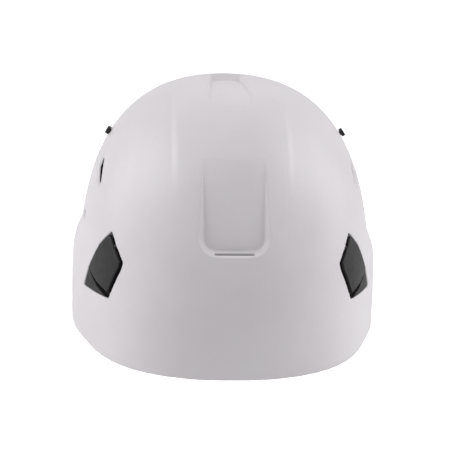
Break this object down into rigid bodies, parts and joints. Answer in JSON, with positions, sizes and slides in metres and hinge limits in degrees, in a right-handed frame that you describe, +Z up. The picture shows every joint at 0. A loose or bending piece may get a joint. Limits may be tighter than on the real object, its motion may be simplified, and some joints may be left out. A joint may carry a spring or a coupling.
{
  "type": "climbing helmet",
  "caption": "White climbing helmet with recessed brow and crown, dark headlamp clips, sliding side vent shutters, webbing suspension, sliding nape cradle and folding chin strap.",
  "frame": {"origin": "on the rest plane of the rim, on the centre line, midway between the ears", "axes": "-Y towards the wearer's face, +Z up through the crown, -X towards the wearer's right"},
  "size_m": [0.2224, 0.2839, 0.1765],
  "materials": {
    "shell_plastic": "slightly glossy moulded white plastic",
    "clip_base_plastic": "fine-grained matt black plastic",
    "clip_plastic": "fine-grained dark grey plastic",
    "steel": "plain bright steel",
    "black_plastic": "matt black plastic",
    "shutter_plastic": "matt dark plastic",
    "frame_plastic": "satin dark grey plastic",
    "webbing": "woven polyester webbing",
    "foam_fabric": "knitted fabric over soft foam",
    "buckle_plastic": "satin black plastic"
  },
  "bodies": {
    "helmet": {"shell": "shell_plastic", "clip_base_front_right": "clip_base_plastic", "clip_base_front_left": "clip_base_plastic", "clip_base_rear_right": "clip_base_plastic", "clip_base_rear_left": "clip_base_plastic", "clip_hinge_pins": "steel", "shutter_guides_right": "shutter_plastic", "shutter_guides_left": "shutter_plastic", "suspension_keys": "frame_plastic", "crown_strap_a": "webbing", "crown_strap_middle": "webbing", "crown_strap_b": "webbing", "crown_pad": "foam_fabric", "headband": "frame_plastic", "headband_hangers": "frame_plastic", "temple_pins": "steel", "brow_pad": "foam_fabric", "chin_strap_anchors": "steel"},
    "clip_front_right": {"clip_lever_front_right": "clip_plastic"},
    "clip_front_left": {"clip_lever_front_left": "clip_plastic"},
    "clip_rear_right": {"clip_lever_rear_right": "clip_plastic"},
    "clip_rear_left": {"clip_lever_rear_left": "clip_plastic"},
    "shutter_right": {"vent_shutter_right": "shutter_plastic", "shutter_knob_right": "black_plastic"},
    "shutter_left": {"vent_shutter_left": "shutter_plastic", "shutter_knob_left": "black_plastic"},
    "nape_frame": {"adjuster_arm_right": "frame_plastic", "adjuster_arm_left": "frame_plastic", "adjuster_cover_right": "frame_plastic", "adjuster_cover_left": "frame_plastic"},
    "nape_cradle": {"nape_band": "frame_plastic", "nape_pad": "foam_fabric"},
    "wheel_right": {"adjuster_wheel_right": "black_plastic"},
    "wheel_left": {"adjuster_wheel_left": "black_plastic"},
    "side_straps_right": {"front_strap_right": "webbing", "rear_strap_right": "webbing", "side_adjuster_right": "buckle_plastic"},
    "chin_right": {"chin_strap_right": "webbing", "buckle_male": "buckle_plastic"},
    "cam_right": {"cam_lever_right": "buckle_plastic"},
    "side_straps_left": {"front_strap_left": "webbing", "rear_strap_left": "webbing", "side_adjuster_left": "buckle_plastic"},
    "chin_left": {"chin_strap_left": "webbing", "buckle_female": "buckle_plastic"},
    "cam_left": {"cam_lever_left": "buckle_plastic"}
  },
  "joints": [
    {"name": "clip_hinge_front_right", "type": "hinge", "parent": "helmet", "child": "clip_front_right", "pos_m": [-0.08001, -0.07802, 0.0812], "axis": [-0.4579, 0.889, 0], "range_deg": [0, 12]},
    {"name": "clip_hinge_front_left", "type": "hinge", "parent": "helmet", "child": "clip_front_left", "pos_m": [0.08001, -0.07802, 0.0812], "axis": [-0.4579, -0.889, 0], "range_deg": [0, 12]},
    {"name": "clip_hinge_rear_right", "type": "hinge", "parent": "helmet", "child": "clip_rear_right", "pos_m": [-0.08123, 0.07928, 0.08122], "axis": [0.4255, 0.905, 0], "range_deg": [0, 12]},
    {"name": "clip_hinge_rear_left", "type": "hinge", "parent": "helmet", "child": "clip_rear_left", "pos_m": [0.08123, 0.07928, 0.08122], "axis": [0.4255, -0.905, 0], "range_deg": [0, 12]},
    {"name": "vent_slide_right", "type": "hinge", "parent": "helmet", "child": "shutter_right", "pos_m": [0.028, 0.003, 0.117], "axis": [0, 0, -1], "range_deg": [0, 8]},
    {"name": "vent_slide_left", "type": "hinge", "parent": "helmet", "child": "shutter_left", "pos_m": [-0.028, 0.003, 0.117], "axis": [0, 0, 1], "range_deg": [0, 8]},
    {"name": "nape_tilt", "type": "hinge", "parent": "helmet", "child": "nape_frame", "pos_m": [0, 0.022, 0.028], "axis": [-1, 0, 0], "range_deg": [0, 25]},
    {"name": "nape_slide", "type": "slide", "parent": "nape_frame", "child": "nape_cradle", "axis": [0, 1, 0], "range_m": [-0.014, 0.006]},
    {"name": "wheel_turn_right", "type": "hinge", "parent": "nape_frame", "child": "wheel_right", "pos_m": [-0.0843, 0.048, 0.0272], "axis": [-1, 0, 0], "range_deg": [-161, 69.5]},
    {"name": "wheel_turn_left", "type": "hinge", "parent": "nape_frame", "child": "wheel_left", "pos_m": [0.0843, 0.048, 0.0272], "axis": [-1, 0, 0], "range_deg": [-161, 69.5]},
    {"name": "strap_swing_right", "type": "hinge", "parent": "helmet", "child": "side_straps_right", "pos_m": [-0.0955, -0.017, 0.0055], "axis": [0, 1, 0], "range_deg": [0, 66]},
    {"name": "chin_fold_right", "type": "hinge", "parent": "side_straps_right", "child": "chin_right", "pos_m": [-0.019, -0.017, 0.012], "axis": [0, 1, 0], "range_deg": [0, 115]},
    {"name": "cam_hinge_right", "type": "hinge", "parent": "side_straps_right", "child": "cam_right", "pos_m": [-0.039, -0.017, 0.0034], "axis": [0, 1, 0], "range_deg": [0, 75]},
    {"name": "strap_swing_left", "type": "hinge", "parent": "helmet", "child": "side_straps_left", "pos_m": [0.0955, -0.017, 0.0055], "axis": [0, -1, 0], "range_deg": [0, 66]},
    {"name": "chin_fold_left", "type": "hinge", "parent": "side_straps_left", "child": "chin_left", "pos_m": [0.019, -0.017, 0.012], "axis": [0, -1, 0], "range_deg": [0, 115]},
    {"name": "cam_hinge_left", "type": "hinge", "parent": "side_straps_left", "child": "cam_left", "pos_m": [0.039, -0.017, 0.0034], "axis": [0, -1, 0], "range_deg": [0, 75]}
  ],
  "couplings": [
    {"joint": "wheel_turn_right", "follows": "nape_slide", "rad_per_m": 200},
    {"joint": "wheel_turn_left", "follows": "nape_slide", "rad_per_m": 200}
  ]
}
